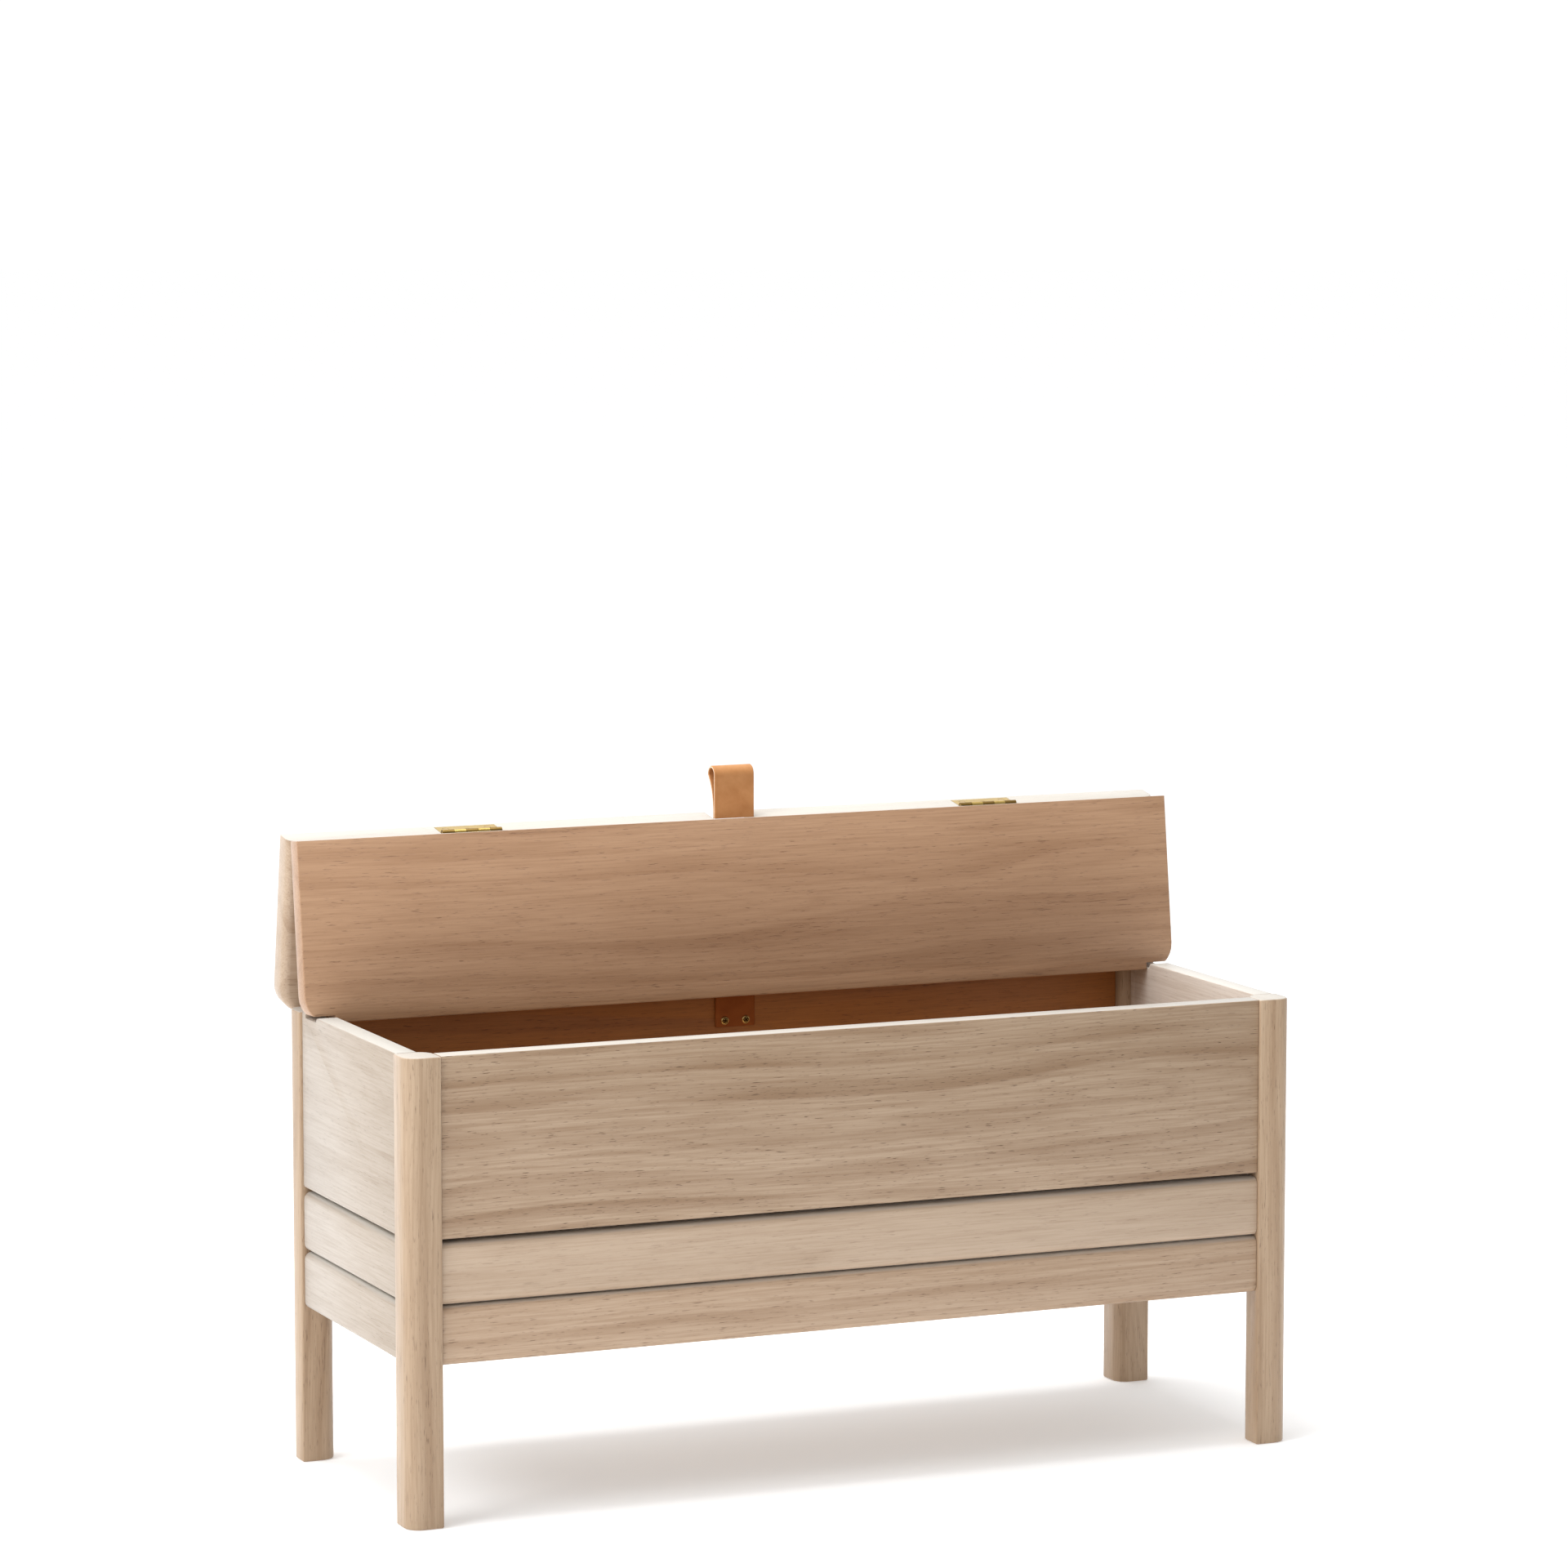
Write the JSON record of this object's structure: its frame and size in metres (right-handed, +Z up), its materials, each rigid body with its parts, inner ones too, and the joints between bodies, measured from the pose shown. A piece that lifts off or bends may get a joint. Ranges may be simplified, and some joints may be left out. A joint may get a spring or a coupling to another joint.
{
  "type": "storage bench",
  "caption": "Low oak storage bench on square legs, with boarded sides, a folding lid of hinged boards and a leather pull strap.",
  "frame": {"origin": "on the floor, under the middle of the whole object's box with the lid standing open", "axes": "+X along the bench to the right of someone in front of it, +Y from its front to its back, +Z up"},
  "size_m": [0.901, 0.3538, 0.6379],
  "materials": {
    "oak_board": "pale white-oiled oak, open grain",
    "oak_leg": "pale white-oiled oak, vertical grain",
    "oak_lid": "pale oiled oak with a cathedral figure",
    "oak_veneer": "oiled oak veneer",
    "brass": "plain satin brass",
    "leather": "natural vegetable-tanned leather",
    "felt": "pale wool felt"
  },
  "bodies": {
    "box": {"floor_cleat_front": "oak_board", "floor_cleat_left": "oak_board", "floor_cleat_rear": "oak_board", "floor_cleat_right": "oak_board", "floor_panel": "oak_veneer", "leg_front_left": "oak_leg", "leg_front_right": "oak_leg", "leg_rear_left": "oak_leg", "leg_rear_right": "oak_leg", "lower_slat_front": "oak_board", "lower_slat_left": "oak_board", "lower_slat_rear": "oak_board", "lower_slat_right": "oak_board", "middle_slat_front": "oak_board", "middle_slat_left": "oak_board", "middle_slat_rear": "oak_board", "middle_slat_right": "oak_board", "panel_front": "oak_board", "panel_left": "oak_board", "panel_rear": "oak_board", "panel_right": "oak_board", "rear_hinge_left_box_leaf": "brass", "rear_hinge_left_pin": "brass", "rear_hinge_right_box_leaf": "brass", "rear_hinge_right_pin": "brass", "strap_anchor": "leather", "strap_screw_left": "brass", "strap_screw_right": "brass"},
    "rear_lid": {"bumper_rear_left": "felt", "bumper_rear_right": "felt", "lid_rear_board": "oak_lid", "rear_hinge_left_lid_leaf": "brass", "rear_hinge_right_lid_leaf": "brass", "ridge_hinge_left_pin": "brass", "ridge_hinge_left_rear_leaf": "brass", "ridge_hinge_left_rear_screw_1": "brass", "ridge_hinge_left_rear_screw_2": "brass", "ridge_hinge_left_rear_screw_3": "brass", "ridge_hinge_right_pin": "brass", "ridge_hinge_right_rear_leaf": "brass", "ridge_hinge_right_rear_screw_1": "brass", "ridge_hinge_right_rear_screw_2": "brass", "ridge_hinge_right_rear_screw_3": "brass", "strap_stay": "leather"},
    "front_lid": {"bumper_front_left": "felt", "bumper_front_right": "felt", "lid_front_board": "oak_lid", "ridge_hinge_left_front_leaf": "brass", "ridge_hinge_left_front_screw_1": "brass", "ridge_hinge_left_front_screw_2": "brass", "ridge_hinge_left_front_screw_3": "brass", "ridge_hinge_right_front_leaf": "brass", "ridge_hinge_right_front_screw_1": "brass", "ridge_hinge_right_front_screw_2": "brass", "ridge_hinge_right_front_screw_3": "brass"},
    "pull_strap": {"strap_loop": "leather"}
  },
  "joints": [
    {"name": "rear_lid_hinge", "type": "hinge", "parent": "box", "child": "rear_lid", "pos_m": [0, 0.14678, 0.42703], "axis": [1, 0, 0], "range_deg": [0, 81]},
    {"name": "lid_fold", "type": "hinge", "parent": "rear_lid", "child": "front_lid", "pos_m": [0, 0.12577, 0.58761], "axis": [1, 0, 0], "range_deg": [-163.7, 0]},
    {"name": "strap_sway", "type": "hinge", "parent": "rear_lid", "child": "pull_strap", "pos_m": [0, 0.12577, 0.58761], "axis": [1, 0, 0], "range_deg": [-81, 0]}
  ],
  "couplings": [
    {"joint": "lid_fold", "follows": "rear_lid_hinge", "ratio": -2.021},
    {"joint": "strap_sway", "follows": "rear_lid_hinge", "ratio": -1}
  ]
}
